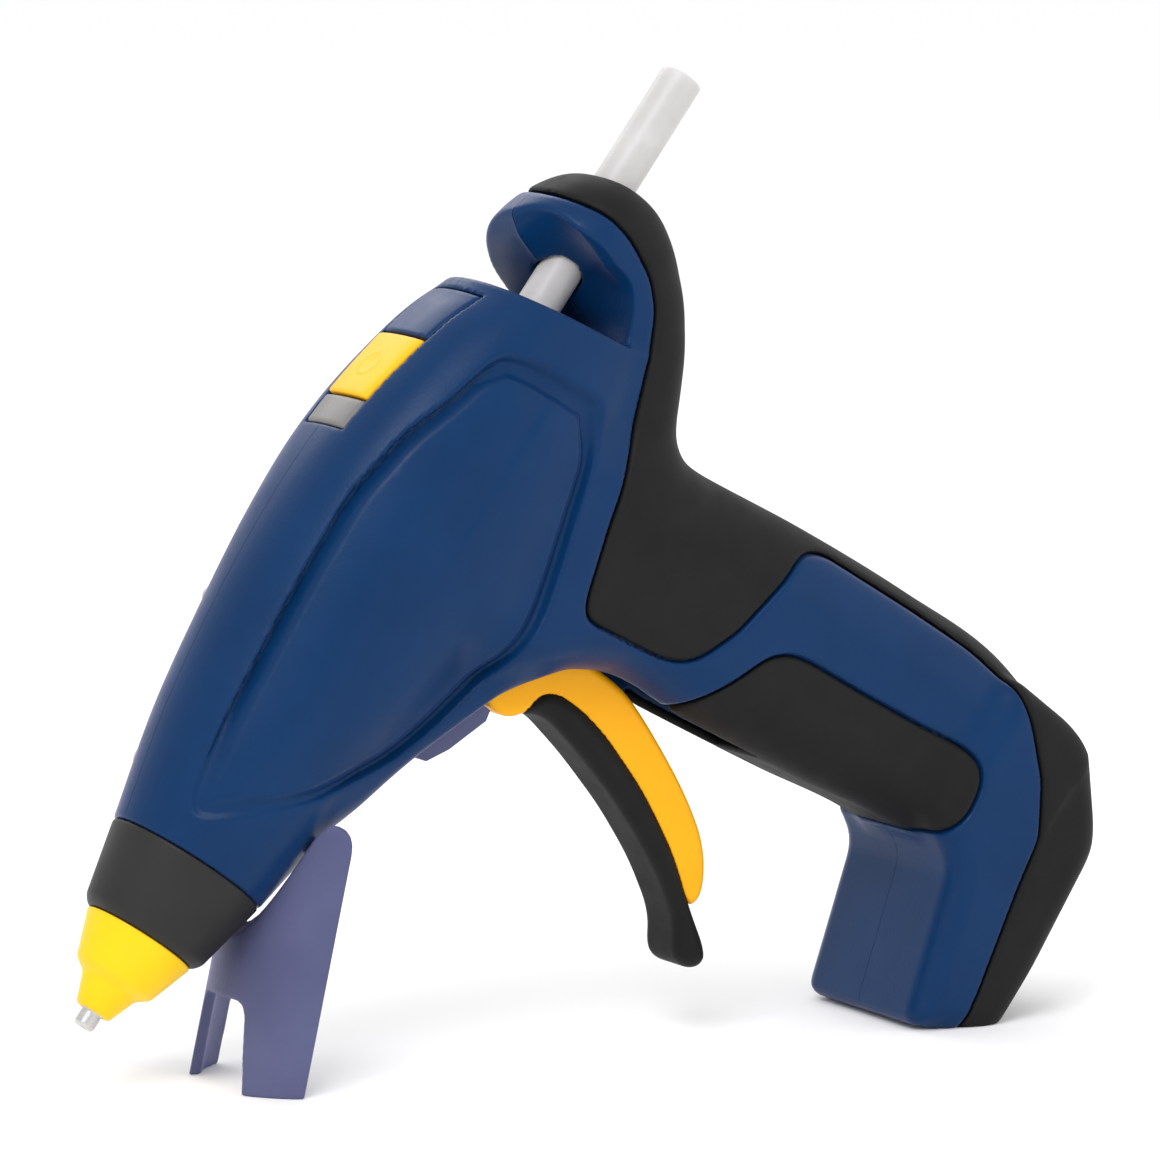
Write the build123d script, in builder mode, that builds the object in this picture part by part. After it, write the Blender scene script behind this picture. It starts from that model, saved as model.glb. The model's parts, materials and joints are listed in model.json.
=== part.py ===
"""Cordless glue gun standing on its fold-out legs, loaded with a 7 mm glue stick.

Row frame: +Z up, the table is z = 0, the nozzle points down towards -X and the handle leans to +X.
The gun is symmetric about y = 0, where its two casing halves meet.

Most sizes are given in the gun's own coordinates: u runs from the nozzle's tip back along the
barrel's axis, v is the height above that axis, square to it, and y is the row's own Y.
"""
import os
from math import cos, degrees, pi, radians, sin

from build123d import *

# ------------------------------------------------------------------ driving dimensions
nose_pitch = 53.4              # the barrel's slope, nozzle down, when the gun stands
tip_x = -91.1                  # puts the whole object's middle over the origin
tip_height = 11.7

wall = 2.2                     # casing halves
skin = 1.4                     # soft grip moulded over the casing
fit_gap = 0.3                  # between pieces that move past each other
pin_gap = 0.05                 # running clearance round a pin

stick_radius = 3.6
stick_front, stick_length = 33.4, 150.0

collar_front, collar_rear = 17.0, 31.0
barrel_rear = 138.0

# Barrel sections: place along the axis, height of the centre, half height, half width.
barrel_sections = [
    (collar_rear, 0.0, 13.7, 13.7),
    (50.0, 0.6, 17.6, 16.6),
    (67.0, 0.4, 20.3, 18.2),
    (84.0, -0.6, 22.6, 19.2),
    (100.0, -1.6, 23.4, 19.6),
    (116.0, -3.0, 22.4, 19.2),
    (128.0, -4.4, 20.6, 18.2),
    (barrel_rear, -5.5, 16.5, 16.4),
]

# Handle sections, from the barrel down: height, front, back, half width.
handle_sections = [
    (-4.0, 84.0, 142.0, 17.4),
    (-28.0, 84.0, 144.0, 17.4),
    (-33.5, 90.0, 136.5, 17.2),
    (-40.0, 94.4, 132.2, 16.8),
    (-60.0, 97.2, 135.6, 16.2),
    (-84.0, 101.0, 138.6, 16.0),
    (-104.0, 104.6, 139.3, 16.6),
    (-120.0, 104.8, 137.4, 18.0),
]
handle_corner = 10.0

base_top, base_bottom = -113.0, -136.0
base_half_width = 19.0

chin_half_width = 11.5
head_radius = 13.3
head_rear = 161.6

# Trigger: pivot, swing, and the fork arm that pushes the carriage forward.
trigger_pivot = (89.0, -27.0)
trigger_swing = 17.0
fork_reach = 17.5
trigger_half_width = 6.4
pivot_radius = 2.0
feed_pin_radius = 2.0

# Legs: a shell that hugs the belly when folded, on a pin under the barrel.
stand_pivot = (43.5, -13.0)
stand_lean = 10.0              # from straight down, when the gun stands
stand_fold = 136.0
stand_radius = 18.3
stand_thickness = 1.8
stand_ahead = 6.7              # the shell's front line, ahead of the pivot
stand_length = 42.5
stand_half_angle = 64.0
notch_start = 26.0
stand_pin_radius = 1.5

# ------------------------------------------------------------------ frames
pitch = radians(nose_pitch)
axis = Vector(cos(pitch), 0, sin(pitch))
lift = Vector(-sin(pitch), 0, cos(pitch))
tip = Vector(tip_x, 0, tip_height)


def spot(u, v, y=0.0):
    """The point at gun coordinates (u, v, y)."""
    return tip + axis * u + lift * v + Vector(0, y, 0)


side = Plane(origin=tip, x_dir=axis, z_dir=(0, -1, 0))      # sketches in (u, v)
barrel_line = Axis(tip, axis)                               # revolved pieces turn about this


def across(u, v=0.0):
    """Plane square to the barrel at u, for sketches in (y, v)."""
    return Plane(origin=spot(u, v), x_dir=(0, 1, 0), z_dir=axis)


def level(v, u=0.0):
    """Plane square to the handle at height v, for sketches in (u, y)."""
    return Plane(origin=spot(u, v), x_dir=axis, z_dir=lift)


def crosswise(u, v, y=0.0):
    """Plane at (u, v) that faces sideways, for pins and bosses along Y."""
    return Plane(origin=spot(u, v, y), x_dir=axis, z_dir=(0, -1, 0))


def save(part, name):
    """Label a finished piece and write its STEP file."""
    part.label = name
    export_step(part, f"parts/{name}.step")


def prism(points, half_width, rounding=0.0):
    """A side-view outline in (u, v), extruded to both sides."""
    with BuildPart() as solid:
        with BuildSketch(side):
            with BuildLine():
                Polyline(*points, close=True)
            make_face()
            if rounding:
                fillet(vertices(), rounding)
        extrude(amount=half_width, both=True)
    return solid.part


def turned(points):
    """A half outline in (u, r), revolved about the barrel's axis."""
    with BuildPart() as solid:
        with BuildSketch(side):
            with BuildLine():
                Polyline(*points, close=True)
            make_face()
        revolve(axis=barrel_line)
    return solid.part


def rod(u, v, radius, y_low, y_high):
    """A round bar along Y, between two values of y."""
    with BuildPart() as solid:
        with BuildSketch(crosswise(u, v, y_high)):
            Circle(radius)
        extrude(amount=y_high - y_low)
    return solid.part


def block(u_low, u_high, v_low, v_high, y_low, y_high):
    """A box square to the gun."""
    with BuildPart() as solid:
        with BuildSketch(level(v_low, (u_low + u_high) / 2)):
            with Locations((0, (y_low + y_high) / 2)):
                Rectangle(u_high - u_low, y_high - y_low)
        extrude(amount=v_high - v_low)
    return solid.part


# ------------------------------------------------------------------ the outer form
def barrel_form(inset=0.0):
    with BuildPart() as solid:
        for u, v, high, wide in barrel_sections:
            with BuildSketch(across(u, v)):
                Ellipse(wide - inset, high - inset)
        loft()
    return solid.part


def handle_form(inset=0.0):
    with BuildPart() as solid:
        for v, front, back, half in handle_sections:
            with BuildSketch(level(v, (front + back) / 2)):
                RectangleRounded(back - front - 2 * inset, 2 * (half - inset), handle_corner - inset)
        loft(ruled=True)
    return solid.part


def base_form(inset=0.0):
    """The battery base: a step ahead of the handle, a flat foot and a round heel."""
    with BuildPart() as solid:
        with BuildSketch(side):
            with BuildLine():
                Polyline((104.0, base_top), (79.4, -121.6), (84.4, -134.4), (87.4, base_bottom),
                         (118.0, base_bottom))
                ThreePointArc((118.0, base_bottom), (132.4, -129.4), (139.3, -115.0))
                Line((139.3, -115.0), (139.3, base_top))
                Line((139.3, base_top), (104.0, base_top))
            make_face()
            if inset:
                offset(amount=-inset, kind=Kind.INTERSECTION)
        extrude(amount=base_half_width - inset, both=True)
    return solid.part


def head_form(inset=0.0):
    """The domed head behind the barrel, which the stick enters through."""
    with BuildPart() as solid:
        with BuildSketch(across(120.0)):
            Circle(head_radius - inset)
            with Locations((0, -18)):
                Rectangle(2 * (head_radius - inset), 36)
        extrude(amount=head_rear + 1 - 120)
        with BuildSketch(side):
            with BuildLine():
                Polyline((144.6, 4.0), (146.6, 11.6), (148.2, 13.2), (152.0, 12.4))
                ThreePointArc((152.0, 12.4), (159.6, 5.4), (head_rear, -5.0))
                ThreePointArc((head_rear, -5.0), (158.6, -17.4), (149.0, -25.8))
                Polyline((149.0, -25.8), (136.0, -32.2), (131.4, -38.4), (110.0, -38.4),
                         (110.0, -20.0), (136.0, -18.0), (143.4, -12.0), (144.6, 4.0))
            make_face()
            if inset:
                offset(amount=-inset, kind=Kind.INTERSECTION)
        extrude(amount=30, both=True, mode=Mode.INTERSECT)
    return solid.part


def chin_form(inset=0.0):
    """The wedge under the barrel that leads down to the trigger."""
    with BuildPart() as solid:
        with BuildSketch(side):
            with BuildLine():
                Polyline((60.0, -10.0), (63.0, -19.6), (84.0, -28.4), (92.0, -34.0), (104.0, -20.0),
                         (104.0, -10.0), close=True)
            make_face()
            if inset:
                offset(amount=-inset, kind=Kind.INTERSECTION)
        extrude(amount=chin_half_width - inset, both=True)
    return solid.part


def gun_form(inset=0.0):
    with BuildPart() as solid:
        add(barrel_form(inset))
        add(chin_form(inset))
        add(handle_form(inset))
        add(base_form(inset))
        add(head_form(inset))
    return solid.part


os.makedirs("parts", exist_ok=True)

# ------------------------------------------------------------------ lines that several pieces share
# Side-view outlines of the soft grips.
rear_grip_outline = [
    (151.6, 16), (153.6, 10), (154.2, 4), (153.0, -1.5), (150.2, -7.8), (146.6, -11.6),
    (140.4, -14.6), (125.2, -19.8), (101.2, -27.2), (99.2, -28.6), (98.6, -30.4), (101.4, -45.8),
    (103.0, -49.4), (105.6, -51.6), (112.4, -54.8), (128.4, -58.2), (131.0, -60.2), (132.6, -63.8),
    (134.4, -84.0), (135.0, -96.0), (134.2, -104.0), (130.0, -110.4), (123.4, -117.4),
    (115.2, -122.8), (87.6, -128.8), (78.0, -130.0), (78.0, -140.0), (145.0, -140.0),
    (170.0, -60.0), (170.0, 16.0),
]
finger_grip_outline = [
    (88.0, -50.4), (96.9, -55.0), (108.4, -60.4), (112.5, -62.4), (115.0, -65.4), (116.0, -69.4),
    (117.2, -80.4), (118.9, -93.5), (120.4, -102.4), (119.6, -105.8), (116.9, -107.9),
    (111.6, -108.9), (106.6, -107.8), (100.0, -103.0), (88.0, -98.0),
]

# The strip along the barrel's ridge holds the lens, the button and a cover, and tapers forward.
strip_front, lens_rear, button_rear, strip_rear = 101.2, 107.2, 120.8, 132.0
strip_front_half, strip_rear_half = 6.4, 8.2
strip_depth = 2.6


def strip_prism(u_low, u_high, shrink=0.0):
    """A length of the tapering strip, cut down into the ridge."""
    def half_at(u):
        along = (u - strip_front) / (strip_rear - strip_front)
        return strip_front_half + (strip_rear_half - strip_front_half) * along - shrink
    with BuildPart() as solid:
        with BuildSketch(level(11.0)):
            with BuildLine():
                Polyline((u_low, -half_at(u_low)), (u_high, -half_at(u_high)),
                         (u_high, half_at(u_high)), (u_low, half_at(u_low)), close=True)
            make_face()
        extrude(amount=18)
    return solid.part


# Screws go in from the right: place, and the y of the seat under the head.
screw_spots = [(42.0, 11.6, 7.0), (70.0, 16.0, 8.5), (106.0, -22.0, 13.0), (131.6, -84.0, 10.5),
               (100.0, -119.0, 14.0), (88.0, -125.0, 14.0), (149.0, -9.0, 7.5)]
boss_radius, screw_radius, screw_hole_radius = 2.9, 1.25, 1.45
screw_head_radius, screw_head_height, screw_tip_y = 2.3, 1.8, -7.0

post_radius, post_inner_y, post_outer_y = 4.2, 7.0, 14.5
knuckle_radius, knuckle_half = 3.3, 10.0

rail_gap, rail_depth, rail_front, rail_rear = 1.9, 1.5, 79.0, 110.0
carriage_half = 7.5
tongue_half_width, tongue_half_height = 10.0, 1.5

port_u, port_half_width, port_half_height = 112.0, 4.6, 1.7
port_top, port_mouth = -127.6, base_bottom + 0.2

feed_angle = radians(trigger_swing) / 2
feed_pin = (trigger_pivot[0] + fork_reach * sin(feed_angle),
            trigger_pivot[1] + fork_reach * cos(feed_angle))
feed_travel = 2 * fork_reach * sin(feed_angle)

outer = gun_form()
under = gun_form(skin)
hollow = gun_form(skin + wall) - block(135.0, 141.0, -12, 12, -20, 20)
skin_layer = outer - under
strip_layer = outer - gun_form(strip_depth)

stick_bore = turned([(130, 0), (170, 0), (170, 4.6), (130, 4.6)])
port_slot = block(port_u - port_half_height - 0.1, port_u + port_half_height + 0.1, -140, -131,
                  -port_half_width - 0.1, port_half_width + 0.1)
trigger_slot = block(77.0, 107.0, -70.0, -14.0, -7.0, 7.0)


def above_table(part):
    """What touches the table ends on it in a flat face."""
    return part - Pos(0, 0, -5) * Box(400, 100, 10)


def halves(part):
    """Split a symmetric piece at the parting plane: left is -y, right is +y."""
    return (part & Pos(0, -50, 100) * Box(600, 100, 600),
            part & Pos(0, 50, 100) * Box(600, 100, 600))


# ------------------------------------------------------------------ soft grips
for outline, name, hole in ((rear_grip_outline, "rear_grip", stick_bore + port_slot),
                            (finger_grip_outline, "finger_grip", trigger_slot)):
    layer = (skin_layer & prism(outline, 30)) - hole
    outer_shell = layer if name == "finger_grip" else above_table(layer)
    left, right = halves(outer_shell)
    save(left, f"{name}_left")
    save(right - [rod(u, v, screw_head_radius + 0.3, seat, 30) for u, v, seat in screw_spots],
         f"{name}_right")

# ------------------------------------------------------------------ casing halves
with BuildPart() as casing:
    add(outer - hollow)
    for u, v, seat in screw_spots:
        add(rod(u, v, boss_radius, -20, 20) & outer)
    for y_low, y_high in ((-post_outer_y, -post_inner_y), (post_inner_y, post_outer_y)):
        add(rod(*trigger_pivot, post_radius, y_low, y_high))
    for v_low in (-rail_gap - rail_depth, rail_gap):
        for y_low, y_high in ((-19, -8.2), (8.2, 19)):
            add(block(rail_front, rail_rear, v_low, v_low + rail_depth, y_low, y_high) & outer)
    add(rod(*stand_pivot, knuckle_radius, -knuckle_half, knuckle_half))
    for outline in (rear_grip_outline, finger_grip_outline):
        add(skin_layer & prism(outline, 30), mode=Mode.SUBTRACT)
    add(strip_layer & strip_prism(strip_front, strip_rear), mode=Mode.SUBTRACT)
    add(strip_prism(strip_front + 1.6, lens_rear - 1.0, 1.4), mode=Mode.SUBTRACT)
    add(strip_prism(lens_rear, button_rear + 0.2), mode=Mode.SUBTRACT)
    for cutter in (stick_bore, port_slot, trigger_slot,
                   rod(*trigger_pivot, pivot_radius, -13.4, 13.4),
                   rod(*stand_pivot, stand_pin_radius, -20, 20)):
        add(cutter, mode=Mode.SUBTRACT)

left, right = halves(casing.part)
for u, v, seat in screw_spots:
    left = left - rod(u, v, screw_radius, screw_tip_y - 0.5, 0)
    right = right - rod(u, v, screw_hole_radius, 0, seat) - rod(u, v, screw_head_radius + 0.3, seat, 30)
save(left, "housing_left")
save(right, "housing_right")

with BuildPart() as screws:
    for u, v, seat in screw_spots:
        add(rod(u, v, screw_radius, screw_tip_y, seat))
        add(rod(u, v, screw_head_radius, seat, seat + screw_head_height))
        add(rod(u, v, 1.0, seat + 0.8, seat + 2), mode=Mode.SUBTRACT)
save(screws.part, "housing_screws")

# ------------------------------------------------------------------ top strip
save(strip_layer & strip_prism(strip_front + 0.1, lens_rear - 0.1, 0.1), "status_lens")
save(strip_layer & strip_prism(button_rear + 0.3, strip_rear - 0.1, 0.1), "top_cover")

button_travel = 0.8
with BuildPart() as button:
    add(strip_layer & strip_prism(lens_rear + fit_gap, button_rear - fit_gap, fit_gap))
    add(block(112.5, 116.5, 14.6, 17.4, -2, 2))
save(button.part, "power_button")

with BuildPart() as switch:
    add(block(111.5, 117.5, 7.0, 12.4, -3, 3))
    add(block(113.2, 115.8, 12.4, 13.6, -1.2, 1.2))
save(switch.part, "power_switch")

# ------------------------------------------------------------------ nose, from the tip back
sleeve_step = 7.8
save(turned([(17.0, 8.2), (17.0, 9.7), (18.4, 10.9), (collar_rear, 13.7), (collar_rear, 9.9),
             (35.0, 9.9), (35.0, 8.4), (20.0, 8.4)]), "nose_collar")
save(turned([(2.8, 1.85), (2.9, 2.9), (sleeve_step, 4.9), (sleeve_step + 1.4, 6.9), (16.9, 9.6),
             (16.9, 8.0), (24.0, 8.0), (24.0, 6.5), (9.0, 6.1), (7.2, 3.75)]),
     "nozzle_sleeve")
save(turned([(0, 0.8), (0, 1.3), (0.5, 1.75), (2.7, 1.75), (7.2, 3.6), (8.8, 5.8), (20.0, 5.8),
             (20.0, 1.5), (6.0, 1.5), (4.0, 0.8)]), "nozzle_tip")

chamber_bore = 3.9
save(turned([(20.0, 1.5), (20.0, 6.3), (24.5, 6.3), (24.5, 7.2), (70.0, 7.2), (70.0, chamber_bore),
             (22.6, chamber_bore)]), "melt_chamber")
save(turned([(26.0, 7.25), (26.0, 8.35), (31.0, 8.35), (31.0, 7.25)]), "front_ring")
save(turned([(66.4, 7.25), (66.4, 12.8), (69.4, 12.8), (69.4, 7.25)])
     - block(66.0, 70.0, -10.4, -8.0, -5.6, 5.6), "rear_ring")
save(block(48.0, 65.0, -11.0, -7.25, -5, 5), "heater")

with BuildPart() as clip:
    with BuildSketch(across(58.0)):
        with Locations((0, -1.8)):
            Rectangle(15.4, 19.4)
            Rectangle(14.6, 18.6, mode=Mode.SUBTRACT)
    extrude(amount=6)
save(clip.part, "heater_clip")

seal_end = 79.0
save(turned([(70.0, 3.8), (70.0, 6.8), (71.5, 6.8), (71.5, 4.8), (seal_end, 4.8), (seal_end, 3.8)]),
     "inlet_seal")
save(turned([(133.4, 4.05), (133.4, 6.2), (135.0, 6.2), (135.0, 4.55), (136.6, 4.55), (136.6, 4.05)]),
     "barrel_guide")
save(turned([(150.0, 4.05), (150.0, 4.55), (158.4, 4.55), (158.4, 4.05)]), "inlet_guide")

with BuildPart() as stick:
    with BuildSketch(across(stick_front)):
        Circle(stick_radius)
    extrude(amount=stick_length)
    fillet(edges().filter_by(GeomType.CIRCLE), 0.5)
save(stick.part, "glue_stick")

# ------------------------------------------------------------------ feed: carriage, pawl, spring
carriage_front, carriage_rear = 88.0, 108.0
pawl_pivot, pawl_half_width = (104.0, 8.8), 2.8

with BuildPart() as carriage:
    add(block(carriage_front, carriage_rear, -6.6, 7.0, -carriage_half, carriage_half))
    add(block(carriage_front + 12.0, carriage_rear, 7.0, 11.0, -6, 6))
    add(block(carriage_front + 1, carriage_rear - 1, -tongue_half_height, tongue_half_height,
              -tongue_half_width, tongue_half_width))
    for y_low, y_high in ((-carriage_half, -3.5), (3.5, carriage_half)):
        add(block(feed_pin[0] - 3.4, feed_pin[0] + 3.4, -12.8, -6.6, y_low, y_high))
    add(turned([(80, 0), (115, 0), (115, 4.1), (80, 4.1)]), mode=Mode.SUBTRACT)
    add(block(95.2, carriage_rear, 3.0, 12.0, -3.1, 3.1), mode=Mode.SUBTRACT)
    add(rod(*feed_pin, feed_pin_radius, -9, 9), mode=Mode.SUBTRACT)
    add(rod(*pawl_pivot, 1.2, -9, 9), mode=Mode.SUBTRACT)
save(carriage.part, "feed_carriage")
save(rod(*feed_pin, feed_pin_radius, -carriage_half, carriage_half), "feed_pin")

pawl = prism([(96.4, 4.3), (97.2, 4.05), (98.4, 4.6), (99.6, 6.8), (106.4, 6.8), (106.4, 10.6),
              (99.2, 10.6), (96.2, 8.0)], pawl_half_width)
save(pawl - rod(*pawl_pivot, 1.2 + pin_gap, -9, 9), "feed_pawl")
save(rod(*pawl_pivot, 1.2, -6, 6), "pawl_pin")

spring_wire, spring_mean, spring_turns = 0.8, 5.75, 6
spring_front = 71.5 + spring_wire / 2 + 0.1
spring_height = carriage_front - 0.1 - spring_wire / 2 - spring_front
with BuildPart() as spring:
    with BuildLine() as coil:
        Helix(spring_height / spring_turns, spring_height, spring_mean, center=spot(spring_front, 0),
              direction=axis)
    with BuildSketch(Plane(origin=coil.line @ 0, z_dir=coil.line % 0)):
        Circle(spring_wire / 2)
    sweep()
save(spring.part, "return_spring")

# ------------------------------------------------------------------ trigger
trigger_outline = [
    (80.2, -29.0), (80.8, -32.8), (83.4, -34.8), (86.4, -38.4), (86.0, -48.0), (82.6, -60.0),
    (78.2, -70.6), (72.8, -79.4), (75.2, -80.4), (81.3, -76.0), (86.2, -67.8), (90.6, -57.6),
    (93.7, -48.6), (93.4, -42.0), (95.2, -32.0), (94.6, -23.0), (90.6, -19.4), (84.0, -20.6),
]
pad_outline = [
    (81.6, -34.2), (84.4, -38.4), (82.4, -49.4), (79.2, -61.0), (75.2, -71.0), (70.0, -79.8),
    (65.6, -84.8), (65.2, -87.6), (67.2, -89.9), (70.2, -89.2), (74.0, -81.0), (79.4, -72.4),
    (84.3, -61.4), (88.2, -49.2), (89.2, -41.6), (88.6, -37.0), (86.2, -34.4),
]
fork_half_width, fork_slot_half = 4.3, feed_pin_radius + fit_gap
fork_base, fork_slot_start, fork_end = 4.0, 13.4, 19.0
pad_half_width = trigger_half_width + 0.8


def along_fork(reach, aside):
    """A point on the fork arm: how far from the pivot, and how far to one side."""
    return (trigger_pivot[0] + reach * sin(feed_angle) + aside * cos(feed_angle),
            trigger_pivot[1] + reach * cos(feed_angle) - aside * sin(feed_angle))


with BuildPart() as trigger:
    add(prism(trigger_outline, trigger_half_width - 0.6, rounding=0.8))
    add(prism([along_fork(fork_base, -fork_half_width), along_fork(fork_end, -fork_half_width),
               along_fork(fork_end, fork_half_width), along_fork(fork_base, fork_half_width)], 3.0))
    add(prism([along_fork(fork_slot_start, -fork_slot_half), along_fork(fork_end + 2, -fork_slot_half),
               along_fork(fork_end + 2, fork_slot_half), along_fork(fork_slot_start, fork_slot_half)],
              4.0), mode=Mode.SUBTRACT)
    add(rod(*trigger_pivot, pivot_radius + pin_gap, -9, 9), mode=Mode.SUBTRACT)
save(trigger.part, "trigger")
pad = prism(pad_outline, pad_half_width - 0.6, rounding=0.9)
save(pad - trigger.part, "trigger_pad")
save(rod(*trigger_pivot, pivot_radius, -13.4, 13.4), "trigger_pin")

# ------------------------------------------------------------------ legs
lean = radians(stand_lean)
stand_down = Vector(-sin(lean), 0, -cos(lean))
stand_front = Vector(-cos(lean), 0, sin(lean))
stand_centre = spot(*stand_pivot) + stand_front * (stand_ahead - stand_radius)
stand_flare = 0.8              # how much wider the shell is at the feet
shell_top, notch_top_half, notch_foot_half = -4.6, 6.6, 9.6


def shell_revolve(half_angle, profile):
    """Turn a (radius, down) outline about the shell's line, to both sides of its front."""
    start = Vector(stand_front.X * cos(half_angle), -sin(half_angle), stand_front.Z * cos(half_angle))
    with BuildPart() as solid:
        with BuildSketch(Plane(origin=stand_centre, x_dir=start, z_dir=start.cross(stand_down))):
            with BuildLine():
                Polyline(*profile, close=True)
            make_face()
        revolve(axis=Axis(stand_centre, stand_down), revolution_arc=degrees(2 * half_angle))
    return solid.part


with BuildPart() as shell:
    add(shell_revolve(radians(stand_half_angle), [
        (stand_radius - stand_thickness, shell_top), (stand_radius, shell_top),
        (stand_radius + stand_flare, stand_length),
        (stand_radius + stand_flare - stand_thickness, stand_length)]))
    # The notch between the feet, wider at the table.
    with BuildSketch(Plane(origin=spot(*stand_pivot), x_dir=(0, 1, 0), z_dir=stand_front)):
        with BuildLine():
            Polyline((-notch_foot_half, stand_length + 1), (-notch_top_half, notch_start),
                     (notch_top_half, notch_start), (notch_foot_half, stand_length + 1), close=True)
        make_face()
        fillet(vertices().group_by(Axis.Z)[-1], 2.5)
    extrude(amount=12, mode=Mode.SUBTRACT)

# Room for the nose: the gun's own front end, a little swollen, at every angle of the swing.
nose_room = barrel_form(-0.7) + chin_form(-0.7) + turned([
    (collar_front - 1, 0), (collar_front - 1, 11.7), (collar_rear + 0.2, 14.4), (collar_rear + 0.2, 0)])
stand_turn = Axis(spot(*stand_pivot), Vector(0, -1, 0))
knuckle_room = knuckle_half + fit_gap
legs = shell.part - rod(*stand_pivot, knuckle_radius + fit_gap, -knuckle_room, knuckle_room)
core = shell_revolve(pi, [(0, shell_top), (stand_radius, shell_top),
                          (stand_radius + stand_flare, stand_length), (0, stand_length)])
ear_radius = 3.6
ears = (rod(*stand_pivot, ear_radius, -15, -knuckle_room)
        + rod(*stand_pivot, ear_radius, knuckle_room, 15)) & core
for angle in (0, 35, 70, 105, stand_fold):
    turned_room = nose_room.rotate(stand_turn, -angle)
    legs = legs - turned_room
    ears = ears - turned_room
pin_half = 12.4
pin_room = rod(*stand_pivot, stand_pin_radius + pin_gap, -pin_half - 0.1, pin_half + 0.1)
save(above_table(legs + ears) - pin_room, "stand")
save(rod(*stand_pivot, stand_pin_radius, -pin_half, pin_half), "stand_pin")

catch = prism([(65.0, -18.0), (66.4, -24.2), (70.2, -26.6), (77.6, -29.6), (79.4, -29.2),
               (79.4, -18.0)], 5.2)
save(catch - outer, "stand_catch")

# ------------------------------------------------------------------ power, in the handle and base
cell_u, cell_low, cell_length, cell_radius = 119.5, -112.0, 65.0, 9.1
with BuildPart() as cell:
    with BuildSketch(level(cell_low, cell_u)):
        Circle(cell_radius)
    extrude(amount=cell_length)
    fillet(edges().filter_by(GeomType.CIRCLE), 0.8)
    with BuildSketch(level(cell_low + cell_length, cell_u)):
        Circle(3.0)
    extrude(amount=1.0)
save(cell.part, "battery_cell")

cell_high = cell_low + cell_length + 1.0
with BuildPart() as contacts:
    for v_low in (cell_low - 0.5, cell_high):
        add(block(cell_u - 6, cell_u + 6, v_low, v_low + 0.5, -5, 5))
save(contacts.part, "cell_contacts")

board_thickness = 1.4
with BuildPart() as charge_board:
    add(block(95.0, 124.0, port_top, port_top + board_thickness, -13, 13))
    for u, v, seat in screw_spots:
        add(rod(u, v, boss_radius + 0.3, -20, 20), mode=Mode.SUBTRACT)
save(charge_board.part, "charge_board")

with BuildPart() as port:
    add(block(port_u - port_half_height, port_u + port_half_height, port_mouth, port_top,
              -port_half_width, port_half_width))
    add(block(port_u - port_half_height + 0.3, port_u + port_half_height - 0.3, port_mouth - 1,
              port_top - 1.2, -port_half_width + 0.3, port_half_width - 0.3), mode=Mode.SUBTRACT)
    add(block(port_u - 0.35, port_u + 0.35, port_mouth + 1.2, port_top, -3.4, 3.4))
save(port.part, "charge_port")

save(block(110.0, 130.0, 7.0 - board_thickness, 7.0, -10.3, 10.3), "circuit_board")


def leads(points, radius, bend, y):
    """A pair of wires, one each side of the gun, through the same side-view points."""
    with BuildPart() as pair:
        for side_y in (-y, y):
            with BuildLine() as route:
                FilletPolyline(*[spot(u, v, side_y) for u, v in points], radius=bend)
            with BuildSketch(Plane(origin=route.line @ 0, z_dir=route.line % 0)):
                Circle(radius)
            sweep(path=route.line)
    return pair.part


save(leads([(112, port_top + board_thickness), (112, -116), (119.5, -104), (119.5, -42), (127, -26),
            (124, -6), (124, 7.0 - board_thickness)], 0.8, 4.0, 9.95), "battery_leads")
save(leads([(65.0, -9.2), (70.0, -9.2), (79.0, -14.3), (109.0, -14.3), (113.4, -4.0),
            (113.4, 7.0 - board_thickness)], 0.6, 3.0, 4.4), "heater_leads")
print("feed travel", feed_travel, "feed pin", feed_pin)
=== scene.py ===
"""The looks of the cordless glue gun: fine shells, grips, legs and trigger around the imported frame.

Gun coordinates, in millimetres: u runs from the nozzle's tip along the barrel, v is square to it and
away from the handle, y is across the gun. Shapes that blend are fields: negative inside, in millimetres.
"""
import json
import math

import bmesh
import bpy
import numpy as np
import openvdb
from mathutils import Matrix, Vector


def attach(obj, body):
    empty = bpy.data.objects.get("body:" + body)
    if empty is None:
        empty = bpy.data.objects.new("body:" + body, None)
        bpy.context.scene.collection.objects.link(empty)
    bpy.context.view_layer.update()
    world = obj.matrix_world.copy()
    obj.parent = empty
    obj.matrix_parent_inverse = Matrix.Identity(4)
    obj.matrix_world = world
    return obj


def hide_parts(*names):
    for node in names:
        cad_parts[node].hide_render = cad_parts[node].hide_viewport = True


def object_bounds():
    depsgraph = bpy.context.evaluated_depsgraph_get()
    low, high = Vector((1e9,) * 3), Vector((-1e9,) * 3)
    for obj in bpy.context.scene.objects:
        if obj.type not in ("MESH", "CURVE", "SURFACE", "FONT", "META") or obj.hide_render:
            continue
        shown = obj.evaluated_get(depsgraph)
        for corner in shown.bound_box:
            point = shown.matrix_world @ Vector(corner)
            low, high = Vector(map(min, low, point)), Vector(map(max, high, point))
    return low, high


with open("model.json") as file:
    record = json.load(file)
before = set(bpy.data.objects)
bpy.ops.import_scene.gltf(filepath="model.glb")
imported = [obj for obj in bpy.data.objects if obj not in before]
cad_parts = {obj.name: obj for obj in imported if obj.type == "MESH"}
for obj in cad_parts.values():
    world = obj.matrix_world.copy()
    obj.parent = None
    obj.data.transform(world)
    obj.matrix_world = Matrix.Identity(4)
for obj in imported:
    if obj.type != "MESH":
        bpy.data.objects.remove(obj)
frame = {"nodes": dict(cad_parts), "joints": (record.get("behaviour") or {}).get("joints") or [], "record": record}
cad_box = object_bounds()
MM = 0.001
joints = {joint["name"]: joint for joint in frame["joints"]}
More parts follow.
